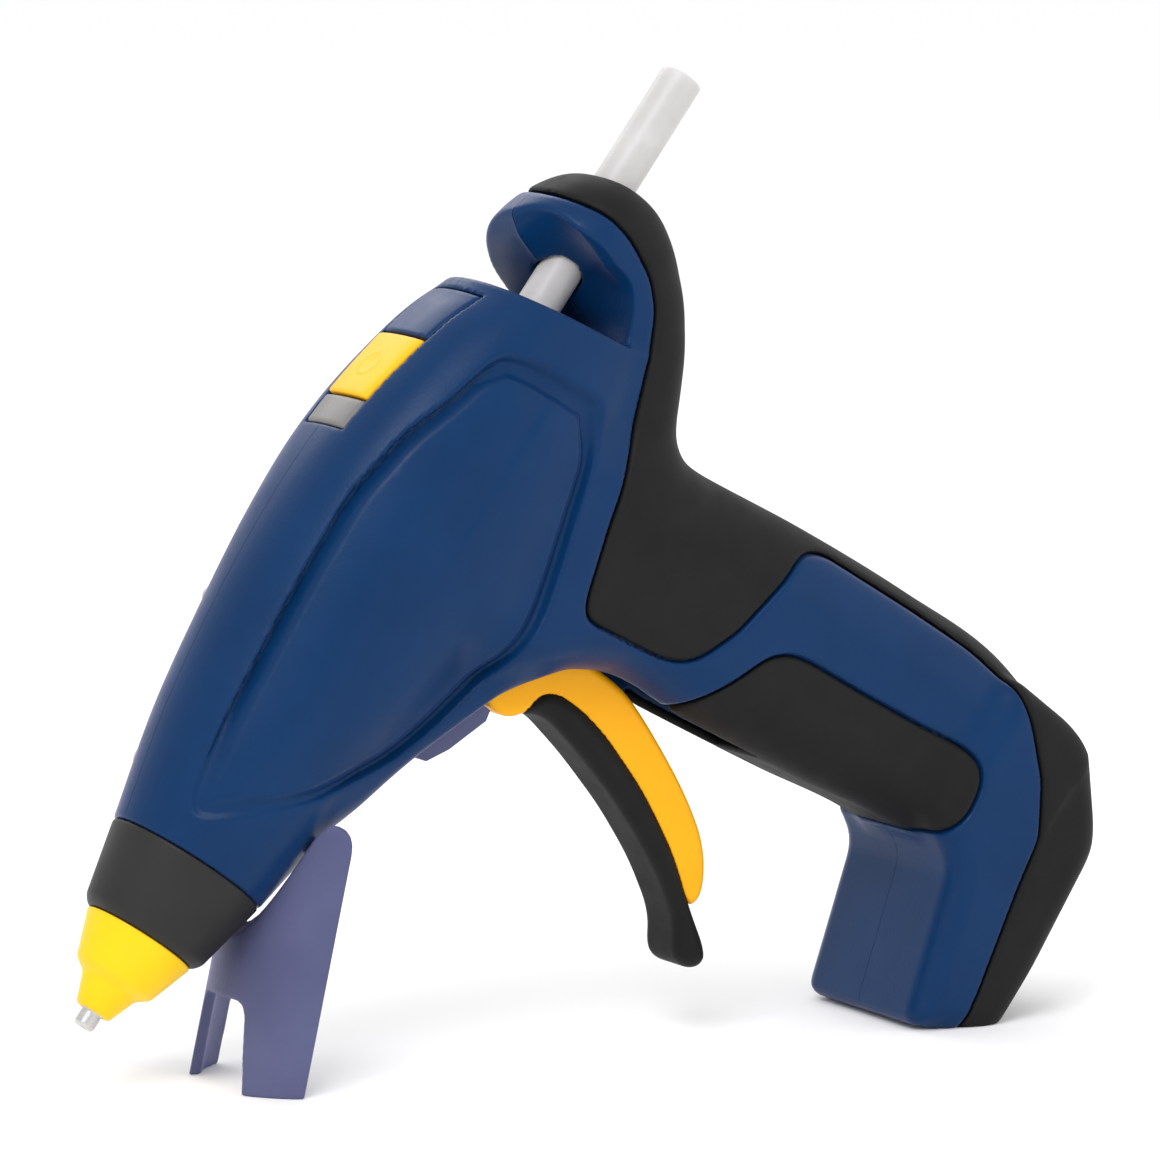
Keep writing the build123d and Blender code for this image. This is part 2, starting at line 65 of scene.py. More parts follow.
mounts = {mount["name"]: mount for mount in frame["record"]["mounts"]}
AXIS = -Vector(joints["carriage_feed"]["axis"]).normalized()
LIFT = Vector((-AXIS.z, 0, AXIS.x))
NOZZLE_MOUNT_U = 1.6
HALF_GAP = 0.05
TIP = Vector(mounts["nozzle_end"]["pos_m"]) - AXIS * NOZZLE_MOUNT_U * MM


# ---------------------------------------------------------------- places and curves
def to_row(points):
    """Gun coordinates in mm to the row frame in metres."""
    base = np.array([AXIS, LIFT, (0, 1, 0)]) * MM
    return np.asarray(points, float) @ base + np.array(TIP)


def from_row(point):
    """A point of the row frame, in metres, to (u, v) in mm."""
    away = (Vector(point) - TIP) / MM
    return away.dot(AXIS), away.dot(LIFT)


def flow(rows, x):
    """Smooth curves through rows of (place, value, ...): one array for each value."""
    rows = np.array(sorted(rows), float)
    at = rows[:, 0]
    x = np.clip(x, at[0], at[-1])
    i = np.clip(np.searchsorted(at, x) - 1, 0, len(at) - 2)
    span = at[i + 1] - at[i]
    t = (x - at[i]) / span
    curves = []
    for value in rows.T[1:]:
        slope = np.gradient(value, at)
        curves.append(((1 + 2 * t) * value[i] + t * span * slope[i]) * (1 - t) ** 2
                      + ((3 - 2 * t) * value[i + 1] + (t - 1) * span * slope[i + 1]) * t ** 2)
    return [curve.astype(np.float32) for curve in curves]


def ramp(x, low, high):
    """0 below low, 1 above high, and smooth between."""
    t = np.clip((x - low) / (high - low), 0, 1)
    return t * t * (3 - 2 * t)


def soften(points, reach, steps=6):
    """A closed outline whose corners are rounded, over up to `reach` of each side."""
    result = []
    for i, corner in enumerate(points):
        corner = np.array(corner, float)
        ends = []
        for other in (points[i - 1], points[(i + 1) % len(points)]):
            side = np.array(other, float) - corner
            ends.append(corner + side * min(reach / np.linalg.norm(side), 0.49))
        for t in np.linspace(0, 1, steps):
            result.append((1 - t) ** 2 * ends[0] + 2 * t * (1 - t) * corner + t * t * ends[1])
    return result


def outline_field(points, a, b):
    """Signed distance to a closed outline, negative inside."""
    points = np.array(points, np.float32)
    nearest = np.full(np.broadcast(a, b).shape, 1e9, np.float32)
    inside = np.zeros(nearest.shape, bool)
    for (a0, b0), (a1, b1) in zip(points, np.roll(points, -1, axis=0)):
        da, db = a1 - a0, b1 - b0
        length = da * da + db * db
        if length < 1e-8:
            continue
        t = np.clip(((a - a0) * da + (b - b0) * db) / length, 0, 1)
        nearest = np.minimum(nearest, (a - a0 - t * da) ** 2 + (b - b0 - t * db) ** 2)
        if db:
            crosses = (b0 > b) != (b1 > b)
            inside ^= crosses & (a < a0 + (b - b0) * da / db)
    return np.sqrt(nearest) * np.where(inside, -1, 1).astype(np.float32)


def union(a, b, soft):
    """a and b together, with the crease between them filled."""
    mix = np.clip(0.5 + 0.5 * (b - a) / soft, 0, 1)
    return b + (a - b) * mix - soft * mix * (1 - mix)


def both(a, b, soft=0.5):
    """Where a and b meet, with the edge rounded."""
    return -union(-a, -b, soft)


def cut(a, b, soft=0.5):
    """a without b."""
    return both(a, -b, soft)


def met(a, b, radius):
    """Where a and b meet, with the edge turned to a true round."""
    return (np.minimum(np.maximum(a, b), -radius)
            + np.hypot(np.maximum(a + radius, 0), np.maximum(b + radius, 0)))


def slab(flat, y, half, corner):
    """An outline field pushed out to both sides, with rounded edges."""
    over, side = flat + corner, np.abs(y) - half + corner
    return (np.hypot(np.maximum(over, 0), np.maximum(side, 0)) + np.minimum(np.maximum(over, side), 0)
            - corner)


def box_field(u, v, y, low, high):
    """A block between two corners."""
    return np.maximum.reduce(np.broadcast_arrays(
        low[0] - u, u - high[0], low[1] - v, v - high[1], low[2] - y, y - high[2]))


class Grid:
    """Sample points of a block of space, in mm."""
    def __init__(self, low, high, step):
        ranges = [np.arange(a, b + step, step, dtype=np.float32) for a, b in zip(low, high)]
        self.low, self.step = np.array(low, float), step
        self.u, self.v, self.y = np.meshgrid(*ranges, indexing="ij", sparse=True)

    def surface(self, field):
        """Vertices in the grid's own mm, and faces, of the surface where the field is zero."""
        volume = openvdb.FloatGrid(5.0)
        volume.copyFromArray(np.ascontiguousarray(np.clip(field, -5, 5), dtype=np.float32))
        points, quads = volume.convertToQuads(isovalue=0.0)
        return points * self.step + self.low, quads[:, ::-1]


# ---------------------------------------------------------------- materials
def base_material(name, roughness, specular=0.5):
    """A material with its node tree, its shader and its place on the object."""
    material = bpy.data.materials.new(name)
    material.use_nodes = True
    nodes, links = material.node_tree.nodes, material.node_tree.links
    shader = nodes["Principled BSDF"]
    shader.inputs["Roughness"].default_value = roughness
    shader.inputs["Specular IOR Level"].default_value = specular
    place = nodes.new("ShaderNodeTexCoord").outputs["Object"]
    return material, nodes, links, shader, place


def noise(nodes, links, place, size_mm, detail=2.0, stretch=None):
    """Noise whose lumps are about size_mm across."""
    if stretch:
        mapping = nodes.new("ShaderNodeMapping")
        mapping.inputs["Scale"].default_value = stretch
        links.new(place, mapping.inputs["Vector"])
        place = mapping.outputs["Vector"]
    texture = nodes.new("ShaderNodeTexNoise")
    texture.inputs["Scale"].default_value = 1 / (size_mm * MM)
    texture.inputs["Detail"].default_value = detail
    links.new(place, texture.inputs["Vector"])
    return texture.outputs["Fac"]


def spread(nodes, links, value, low, high):
    """Noise stretched over low to high."""
    node = nodes.new("ShaderNodeMapRange")
    node.inputs["From Min"].default_value = 0.3
    node.inputs["From Max"].default_value = 0.7
    node.inputs["To Min"].default_value = low
    node.inputs["To Max"].default_value = high
    links.new(value, node.inputs["Value"])
    return node.outputs["Result"]


def tinted(nodes, links, shader, value, dark, light):
    """Base colour that varies between two colours."""
    mix = nodes.new("ShaderNodeMix")
    mix.data_type = "RGBA"
    mix.inputs["A"].default_value = (*dark, 1)
    mix.inputs["B"].default_value = (*light, 1)
    links.new(spread(nodes, links, value, 0, 1), mix.inputs["Factor"])
    links.new(mix.outputs["Result"], shader.inputs["Base Color"])


def bumped(nodes, links, shader, value, depth_mm):
    """Relief of the shader's surface, depth_mm from low to high."""
    bump = nodes.new("ShaderNodeBump")
    bump.inputs["Strength"].default_value = 1.0
    bump.inputs["Distance"].default_value = depth_mm * MM
    links.new(value, bump.inputs["Height"])
    links.new(bump.outputs["Normal"], shader.inputs["Normal"])


def plastic(name, dark, light, roughness=0.42, grain_mm=0.45, depth_mm=0.03, sheen=None, specular=0.2):
    """Moulded plastic: spark-etched grain, slow colour drift and a patchy gloss."""
    material, nodes, links, shader, place = base_material(name, roughness, specular)
    tinted(nodes, links, shader, noise(nodes, links, place, 14, 3.0), dark, light)
    gloss = noise(nodes, links, place, 5, 4.0)
    links.new(spread(nodes, links, gloss, roughness - 0.04, roughness + 0.05), shader.inputs["Roughness"])
    bumped(nodes, links, shader, noise(nodes, links, place, grain_mm, 3.0), depth_mm)
    if sheen:
        weight, tint = sheen
        shader.inputs["Sheen Weight"].default_value = weight
        shader.inputs["Sheen Roughness"].default_value = 0.35
        shader.inputs["Sheen Tint"].default_value = (*tint, 1)
    return material


def metal(name, colour, roughness=0.3, brushed=(1, 1, 12)):
    """Turned or rolled metal with fine lines."""
    material, nodes, links, shader, place = base_material(name, roughness)
    shader.inputs["Metallic"].default_value = 1.0
    lines = noise(nodes, links, place, 1.2, 3.0, brushed)
    links.new(spread(nodes, links, lines, roughness - 0.06, roughness + 0.1), shader.inputs["Roughness"])
    tinted(nodes, links, shader, lines, [c * 0.85 for c in colour], colour)
    bumped(nodes, links, shader, lines, 0.01)
    return material


def glue(name):
    """Cloudy hot-melt adhesive: milky all through, with a waxy skin."""
    material, nodes, links, shader, place = base_material(name, 0.38, 0.4)
    tinted(nodes, links, shader, noise(nodes, links, place, 7, 3.0), (0.46, 0.45, 0.44), (0.54, 0.53, 0.52))
    shader.inputs["Subsurface Weight"].default_value = 0.35
    shader.inputs["Subsurface Radius"].default_value = (0.004, 0.004, 0.004)
    shader.inputs["Subsurface Scale"].default_value = 1.0
    bumped(nodes, links, shader, noise(nodes, links, place, 2.5, 2.0), 0.04)
    return material


LILAC = (0.50, 0.42, 0.85)
looks = {
    "blue_shell": plastic("blue_abs", (0.0005, 0.024, 0.086), (0.0010, 0.028, 0.100), 0.34,
                          sheen=(0.14, LILAC), specular=0.14),
    "stand_blue": plastic("leg_abs", (0.070, 0.078, 0.165), (0.090, 0.098, 0.195), 0.46,
                          depth_mm=0.05, sheen=(0.4, LILAC)),
    "grip_rubber": plastic("soft_rubber", (0.005, 0.005, 0.005), (0.0065, 0.0065, 0.0063), 0.62,
                           grain_mm=0.3, depth_mm=0.02),
    "nose_plastic": plastic("nose_nylon", (0.018, 0.018, 0.017), (0.022, 0.022, 0.021), 0.5,
                            grain_mm=0.3, depth_mm=0.02),
    "nozzle_silicone": plastic("yellow_silicone", (0.86, 0.52, 0.004), (0.94, 0.58, 0.006), 0.38,
                               grain_mm=0.8, depth_mm=0.008),
    "yellow_button": plastic("button_plastic", (0.84, 0.44, 0.004), (0.90, 0.48, 0.006), 0.40,
                             grain_mm=0.35, depth_mm=0.012),
    "orange_trigger": plastic("trigger_plastic", (0.88, 0.38, 0.001), (0.94, 0.42, 0.002), 0.36,
                              grain_mm=0.4, depth_mm=0.01),
    "lens_grey": plastic("lens_plastic", (0.16, 0.155, 0.15), (0.19, 0.185, 0.18), 0.30,
                         grain_mm=0.6, depth_mm=0.008),
    "white_plastic": plastic("white_nylon", (0.66, 0.66, 0.62), (0.74, 0.74, 0.70), 0.5),
    "ceramic": plastic("fired_ceramic", (0.72, 0.69, 0.60), (0.80, 0.77, 0.69), 0.75, grain_mm=0.2),
    "green_board": plastic("solder_mask", (0.008, 0.11, 0.035), (0.012, 0.15, 0.05), 0.35, grain_mm=1.5),
    "cell_wrap": plastic("shrink_wrap", (0.02, 0.16, 0.22), (0.03, 0.20, 0.27), 0.3, grain_mm=2.0),
    "lead_insulation": plastic("red_silicone", (0.38, 0.02, 0.015), (0.46, 0.03, 0.02), 0.5),
    "steel": metal("zinc_steel", (0.56, 0.56, 0.57), 0.35),
    "aluminium": metal("turned_aluminium", (0.78, 0.78, 0.79), 0.3),
    "nozzle_metal": metal("turned_steel", (0.60, 0.59, 0.58), 0.28),
    "glue": glue("hot_melt"),
}

slots = {part["node"]: part["material_slot"] for part in frame["record"]["subparts"]}
body_of = {n: body for body, members in frame["record"]["behaviour"]["bodies"].items() for n in members}
for node_name, node in frame["nodes"].items():
    node.data.materials.clear()
    node.data.materials.append(looks[slots[node_name]])


# ---------------------------------------------------------------- making pieces
SEAM_SHARP, TURNED_SHARP = 50, 32       # degrees past which an edge stays crisp


def halve(data, left):
    """Cut a mesh at the parting plane and close it: left keeps y < 0."""
    mesh = bmesh.new()
    mesh.from_mesh(data)
    side = -1 if left else 1
    cut_edges = bmesh.ops.bisect_plane(
        mesh, geom=mesh.verts[:] + mesh.edges[:] + mesh.faces[:], dist=1e-7,
        plane_co=(0, side * HALF_GAP * MM, 0), plane_no=(0, side, 0), clear_inner=True)["geom_cut"]
    rim = [edge for edge in cut_edges if isinstance(edge, bmesh.types.BMEdge)]
    bmesh.ops.triangle_fill(mesh, edges=rim, use_beauty=True, use_dissolve=False,
                            normal=Vector((0, -side, 0)))
    mesh.to_mesh(data)
    mesh.free()


def finish_piece(name, vertices, faces, node, sharp=0, keep=1.0, half=None):
    """A mesh in the row frame that stands for a CAD node, with its finish.

    Edges sharper than `sharp` degrees stay crisp, and none do where it is 0; keep is the share of its
    faces that stay; half is "left" or "right" for a piece cut at the seam."""
    data = bpy.data.meshes.new(name)
    data.from_pydata(vertices.tolist(), [], faces.tolist())
    data.validate()
    piece = bpy.data.objects.new(name, data)
    bpy.context.scene.collection.objects.link(piece)
    if keep < 1:
        thin = piece.modifiers.new("thin", "DECIMATE")
        thin.ratio = keep
        bpy.context.view_layer.update()
        thinned = bpy.data.meshes.new_from_object(
            piece.evaluated_get(bpy.context.evaluated_depsgraph_get()))
        piece.modifiers.clear()
        piece.data = thinned
    if half:
        halve(piece.data, half == "left")
    piece.data.shade_smooth()
    if sharp:
        piece.data.set_sharp_from_angle(angle=math.radians(sharp))
    slot = slots[node]
    piece.data.materials.clear()
    piece.data.materials.append(looks[slot])
    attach(piece, body_of[node])
    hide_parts(node)
    return piece


def carve_piece(name, grid, field, node, mirror=False, keep=1.0, halved=False):
    """The surface of a field as a piece; mirror puts it on the gun's left side."""
    points, faces = grid.surface(field)
    if mirror:
        points = points * (1, 1, -1)
        faces = faces[:, ::-1]
    if not halved:
        return finish_piece(name, to_row(points), faces, node, keep=keep)
    return finish_piece(name, to_row(points), faces, node, SEAM_SHARP, keep, "left" if mirror else "right")


# ---------------------------------------------------------------- the gun's outer form
BARREL = [(31, 0, 13.7, 13.7), (50, 0.6, 17.6, 16.6), (67, 0.4, 20.3, 18.2), (84, -0.6, 22.6, 19.2),
          (100, -1.6, 23.4, 19.6), (116, -3, 22.4, 19.2), (128, -4.4, 20.6, 18.2), (138, -5.5, 17, 16.4)]
HANDLE = [(-4, 84, 131, 17.4), (-26, 84, 131, 17.4), (-33, 90, 131, 17.2), (-40, 94.4, 132, 16.8),
          (-60, 97.2, 135.2, 16.2), (-84, 101, 137.8, 16), (-104, 104.6, 138.6, 16.6),
          (-120, 104.8, 134.6, 18)]
FRONT_CORNER, BACK_CORNER, HANDLE_TOP, HANDLE_FOOT = 10.0, 13.0, -4, -121
BASE = [(108, -104), (102.8, -112.8), (77.0, -121.2), (82.4, -135), (85.6, -137), (97, -137),
        (119.4, -135.2), (123.2, -133.2), (133.4, -124), (135, -118.6), (135, -104)]
BASE_HALF, BASE_CORNER = 19.0, 4.5
CHIN = [(47, -10), (51, -14.4), (62, -18.4), (84, -27.8), (92, -33.4), (104, -20), (104, -10)]
CHIN_HALF, CHIN_CORNER = 11.5, 2.5
HEAD = [(110, -20), (110, 26), (146, 26), (155.4, 14.4), (160.6, 6.4), (162.2, 0), (161.8, -6),
        (158.6, -12), (152.6, -18), (145.4, -22.8), (134, -28.6), (129.6, -33), (128.4, -39), (110, -39)]
HEAD_RADIUS, HEAD_REAR_ROUND = 14.1, 10.2
PANEL = [(35, 9.2), (40, 11.9), (51.7, 14), (76.4, 16.8), (92.7, 17.8), (105.4, 16), (115.5, 12.3),
         (123.5, 10.4), (125.9, 8.8), (127.9, 3.5), (128.8, -4.9), (129.3, -9.1), (128.4, -11.6),
         (123, -13.8), (112, -17.5), (100.8, -21), (94, -22.7), (85.8, -23), (79, -21.4),
         (69.8, -19), (62, -15.9), (48, -6)]
PANEL_DROP = 1.9
WALL, SKIN, SEAM = 2.4, 1.4, 0.16
BARREL_FRONT, REAR_FACE, REAR_LEAN = 31, 137.2, 0.17


def barrel_field(u, v, y):
    """Ellipses whose top grows flatter towards the rear."""
    centre, high, wide = flow(BARREL, u)
    power = 2 + 0.7 * ramp(u, 60, 115) * ramp(v - centre, 0, 12)
    tall, broad = np.abs(v - centre) / high + 1e-4, np.abs(y) / wide + 1e-4
    scaled = (tall ** power + broad ** power) ** (1 / power)
    steep = np.hypot(tall ** (power - 1) / high, broad ** (power - 1) / wide) * scaled ** (1 - power)
    return (scaled - 1) / np.maximum(steep, 0.02)


def handle_field(u, v, y):
    """An oval tube from the barrel down into the base."""
    front, back, wide = flow(HANDLE, v)
    tube = np.maximum(met(front - u, np.abs(y) - wide, FRONT_CORNER),
                      met(u - back, np.abs(y) - wide, BACK_CORNER))
    return np.maximum(tube, np.maximum(v - HANDLE_TOP, HANDLE_FOOT - v))


def barrel_rear(v):
    """Where the barrel's rear face stands."""
    return REAR_FACE - REAR_LEAN * (v + 1)


def chin_field(u, v, y):
    """The wedge under the barrel that leads down to the trigger."""
    return slab(outline_field(soften(CHIN, 5), u, v), y, CHIN_HALF, CHIN_CORNER)


RIDGE = [(-14, 140), (-4, 142.4), (5.4, 144.4), (11.2, 146.5), (13.5, 148.5), (15, 152)]
NEAR_RIM = [(-14, 137.5), (-10.5, 138.4), (-9.1, 141.8), (-7, 145), (-0.3, 147.7), (9.3, 149.9), (15, 151)]
FAR_RIM = [(-14, 137.5), (-10.5, 138.6), (-5, 139.6), (0, 141), (6, 142.6), (11, 144.6), (15, 148)]
THUMB_SCOOP, RIM_HALF, GAP_FLOOR = 1.8, 11.6, -11.5


def head_front(v, y, near):
    """The head's front: a ridge at the seam, scooped back on the near side for the thumb."""
    ridge, = flow(RIDGE, v)
    rim, = flow(NEAR_RIM if near else FAR_RIM, v)
    across = np.clip(np.abs(y) / RIM_HALF, 0, 1.15)
    scoop = THUMB_SCOOP * np.sin(np.pi * np.clip(across, 0, 1)) * ramp(v, -9, -2) if near else 0
    return ridge + (rim - ridge) * across + scoop


def gun_field(u, v, y):
    """The whole outside, before the thumb gap is cut."""
    body = barrel_field(u, v, y)
    body = both(body, u - barrel_rear(v), 1.0)
    body = union(body, chin_field(u, v, y), 4)
    arch = np.hypot(np.maximum(v, 0), y) - HEAD_RADIUS - 2.6 * ramp(v, -10, -26)
    body = union(body, met(arch, outline_field(soften(HEAD, 3), u, v), HEAD_REAR_ROUND), 2)
    body = union(body, handle_field(u, v, y), 4)
    base = slab(outline_field(soften(BASE, 3), u, v), y, BASE_HALF, BASE_CORNER)
    return union(body, base, 1.5 + 3 * ramp(np.abs(y), 10, 17))


def thumb_gap(u, v, y, near):
    """The open room between the barrel's rear and the head, where the stick goes in."""
    return np.maximum(np.maximum(barrel_rear(v) - u, u - head_front(v, y, near)), GAP_FLOOR - v)


def panel_depth(u, v):
    """How far the shield-shaped panel on each side lies below the barrel's skin."""
    inward = -outline_field(soften(PANEL, 4), u, v)
    rear = ramp(u, 117, 127)
    width = 1.2 + 1.7 * rear
    drop = ramp(inward, 0, width)
    lip = ramp(inward, width + 0.3 + 1.5 * rear, width + 2.0 + 1.8 * rear)
    crown = ramp(inward, width + 2, width + 10)
    return PANEL_DROP * (drop - 0.62 * lip - 0.3 * crown) * (0.25 + 0.75 * ramp(u, 36, 60))


REAR_GRIP = [(151.6, 16), (153.6, 10), (154.2, 4), (153, -1.5), (150.2, -7.8), (146.6, -11.6),
             (140.4, -14.6), (125.2, -19.8), (101.2, -27.2), (99.2, -28.6), (98.6, -30.4), (101.4, -45.8),
             (103, -49.4), (105.6, -51.6), (112.4, -54.8), (128.4, -58.2), (131, -60.2), (132.6, -63.8),
             (134.4, -84), (135, -96), (134.2, -104), (130, -110.4), (123.4, -117.4), (115.2, -122.8),
             (87.6, -128.8), (78, -130), (78, -140), (145, -140), (170, -60), (170, 16)]
FINGER_GRIP = [(88, -50.4), (96.9, -55), (108.4, -60.4), (112.5, -62.4), (115, -65.4), (116, -69.4),
               (117.2, -80.4), (118.9, -93.5), (120.4, -102.4), (119.6, -105.8), (116.9, -107.9),
               (111.6, -108.9), (106.6, -107.8), (100, -103), (88, -98)]
STRIP_ROWS = [(101.2, 6.4), (132, 8.2)]
STRIP_FRONT, LENS_REAR, BUTTON_REAR, STRIP_REAR = 101.2, 107.2, 120.8, 132.0
STRIP_DEPTH, STRIP_FLOOR = 2.6, 8
SCREWS = [(42, 11.6, 7), (70, 16, 8.5), (106, -22, 13), (131.6, -84, 10.5), (100, -119, 14),
          (88, -125, 14), (149, -9, 7.5)]
BOSS_RADIUS, WELL_RADIUS, BORE_RADIUS, BORE_START = 2.9, 2.6, 4.05, 100
TRIGGER_SLOT = ((77, -75, -9), (107, -14, 7))
PORT_SLOT = ((107.4, -140, -9), (116.6, -127.6, 1.7))
STEP = 0.4
KEEP = 0.45
FINE_STEP = 0.3


def strip_half(u):
    """Half the width of the strip of lens, button and cover on the ridge."""
    (front, narrow), (rear, broad) = STRIP_ROWS
    return narrow + (broad - narrow) * (u - front) / (rear - front)


# ---------------------------------------------------------------- casing and grips
def carve_casing():
    """Both halves of the casing, each with its two soft skins."""
    gun = Grid((28, -138, -1.2), (163.5, 26, 21), STEP)
    u, v, y = gun.u, gun.v, gun.y
    body = gun_field(u, v, y)
    depth = panel_depth(u, v) * ramp(y, 5, 9)
    rear_flat = outline_field(soften(REAR_GRIP, 2), u, v)
    finger_flat = outline_field(soften(FINGER_GRIP, 2), u, v)
    height = TIP.z / MM + u * AXIS.z + v * LIFT.z       # above the table, in mm
    bosses = np.minimum.reduce([np.hypot(u - su, v - sv) for su, sv, _ in SCREWS]) - BOSS_RADIUS + 0 * y
    stick_hole = np.maximum(np.hypot(v, y) - BORE_RADIUS, BORE_START - u)
    trigger_slot = box_field(u, v, y, *TRIGGER_SLOT)
    port_slot = box_field(u, v, y, *PORT_SLOT)

    def screw_wells(shape):
        """Room for the screw heads."""
        for su, sv, seat in SCREWS:
            shape = cut(shape, np.maximum(np.hypot(u - su, v - sv) - WELL_RADIUS, seat - y), 0.3)
        return shape

    def casing_half(form):
        """A shell with its bosses, its grip pockets and its openings."""
        strip_plan = np.maximum(np.abs(y) - strip_half(u), np.maximum(STRIP_FRONT - u, u - STRIP_REAR))
        strip_room = np.maximum(strip_plan, np.maximum(STRIP_FLOOR - v, -form - STRIP_DEPTH))
        shape = both(form + depth, BARREL_FRONT + HALF_GAP - u, 0.5)
        shape = cut(shape, cut(form + WALL + 1.0, bosses, 0.4), 0.3)
        for flat in (rear_flat, finger_flat):
            shape = cut(shape, np.maximum(flat - SEAM, -form - SKIN - SEAM), 0.8)
        for room in (strip_room, stick_hole, trigger_slot, port_slot):
            shape = cut(shape, room, 0.3)
        return np.maximum(shape, -height)

    def grip_half(form, flat):
        """A soft skin that fills its pocket in the casing."""
        shape = both(both(form, flat + SEAM, 1.2), -form - SKIN, 0.3)
        for room in (stick_hole, trigger_slot, port_slot):
            shape = cut(shape, room, 0.5)
        return np.maximum(shape, -height)

    for near in (True, False):
        form = cut(body, thumb_gap(u, v, y, near), 0.9)
        side = "left" if near else "right"
        for piece, shape, node in (("shell", casing_half(form), "housing"),
                                   ("rear_skin", grip_half(form, rear_flat), "rear_grip"),
                                   ("finger_skin", grip_half(form, finger_flat), "finger_grip")):
            if not near:
                shape = screw_wells(shape)
            carve_piece(f"{piece}_{side}", gun, shape, f"{node}_{side}", near, KEEP, halved=True)


carve_casing()


# ---------------------------------------------------------------- strip on the ridge
RING_RADIUS, RING_GAP, STROKE_HALF, BAR_HALF, MARK_DEPTH = 2.3, 0.7, 0.25, 1.2, 0.12


def carve_strip():
    """The status lens, the button with its power mark, and the cover behind them."""
    strip = Grid((99, 5, -9.4), (134, 25, 9.4), FINE_STEP)
    u, v, y = strip.u, strip.v, strip.y
    top = gun_field(u, v, y)
    layer = np.maximum(-top - STRIP_DEPTH, STRIP_FLOOR - v)

    def strip_piece(u_low, u_high, gap, raised=0.0):
        edge = np.maximum(np.abs(y) - strip_half(u) + gap, np.maximum(u_low - u, u - u_high))
        return np.maximum(both(top - raised, edge, 0.7), layer)

    mark_u = (LENS_REAR + BUTTON_REAR) / 2
    mark = np.abs(np.hypot(u - mark_u, y) - RING_RADIUS) - STROKE_HALF
    mark = np.maximum(mark, RING_GAP - np.hypot(u - mark_u - RING_RADIUS, y))
    mark = np.minimum(mark, np.maximum(np.abs(y) - STROKE_HALF, np.abs(u - mark_u - 2) - BAR_HALF))
    engraved = MARK_DEPTH * (1 - ramp(mark, -0.15, 0.15))
    carve_piece("lens", strip, strip_piece(STRIP_FRONT + 0.15, LENS_REAR - 0.12, 0.12), "status_lens")
    button = strip_piece(LENS_REAR + 0.22, BUTTON_REAR - 0.22, 0.25, raised=0.25)
    carve_piece("button", strip, button - engraved, "power_button")
    carve_piece("ridge_cover", strip, strip_piece(BUTTON_REAR + 0.2, STRIP_REAR - 0.12, 0.12), "top_cover")


carve_strip()


# ---------------------------------------------------------------- trigger
TRIGGER = [(80.2, -29), (80.8, -32.8), (83.4, -34.8), (86.4, -38.4), (86, -48), (82.6, -60),
           (78.2, -70.6), (72.8, -79.4), (75.6, -81), (82.3, -76.6), (87.3, -68.4), (91.7, -58),
           (94.9, -48.8), (94.9, -42), (95.6, -32), (94.6, -23), (90.6, -19.4), (84, -20.6)]
PAD = [(81.6, -34.2), (84.4, -38.4), (82.4, -49.4), (79.2, -61), (75.2, -71), (70, -79.8),
       (64.9, -83.0), (64.5, -86.0), (66, -88.2), (68.6, -88.0), (73, -80.8), (79.0, -72.4),
       (84.3, -61.4), (88.2, -49.2), (89.2, -41.6), (88.6, -37), (86.2, -34.4)]
TRIGGER_HALF, TRIGGER_CORNER, TRIGGER_SWELL = 5.8, 1.5, 0.7
PAD_HALF, PAD_CORNER, PAD_SWELL = 6.6, 3.0, 0.1
TRIGGER_BORE = 2.05
FORK_HALF, FORK_THICK_HALF, FORK_START, FORK_END = 4.3, 3.0, 4, 19
FORK_SLOT_HALF, FORK_SLOT_START = 2.3, 13.4


def carve_trigger():
    """The yellow trigger with the fork that moves the carriage, and its soft pad."""
    pivot_u, pivot_v = from_row(joints["trigger_pull"]["pos_m"])
    lever = Grid((62, -93, -7.4), (98, -5, 7.4), FINE_STEP)
    u, v, y = lever.u, lever.v, lever.y
    fin = slab(outline_field(soften(TRIGGER, 5), u, v) - TRIGGER_SWELL, y, TRIGGER_HALF, TRIGGER_CORNER)
    pad = slab(outline_field(soften(PAD, 4), u, v) - PAD_SWELL, y, PAD_HALF, PAD_CORNER)
    swing = math.radians(joints["trigger_pull"]["range_deg"][1]) / 2
    reach = (u - pivot_u) * math.sin(swing) + (v - pivot_v) * math.cos(swing)
    aside = (u - pivot_u) * math.cos(swing) - (v - pivot_v) * math.sin(swing)
    fork = np.maximum(np.maximum(np.abs(aside) - FORK_HALF, np.abs(y) - FORK_THICK_HALF),
                      np.maximum(FORK_START - reach, reach - FORK_END))
    fork = cut(fork, np.maximum(np.abs(aside) - FORK_SLOT_HALF, FORK_SLOT_START - reach), 0.3)
    fin = union(fin, fork, 0.8)
    fin = cut(fin, np.hypot(u - pivot_u, v - pivot_v) - TRIGGER_BORE + 0 * y, 0.2)
    carve_piece("trigger_fin", lever, cut(fin, pad - 0.02, 0.2), "trigger")
    carve_piece("finger_pad", lever, pad, "trigger_pad")


carve_trigger()


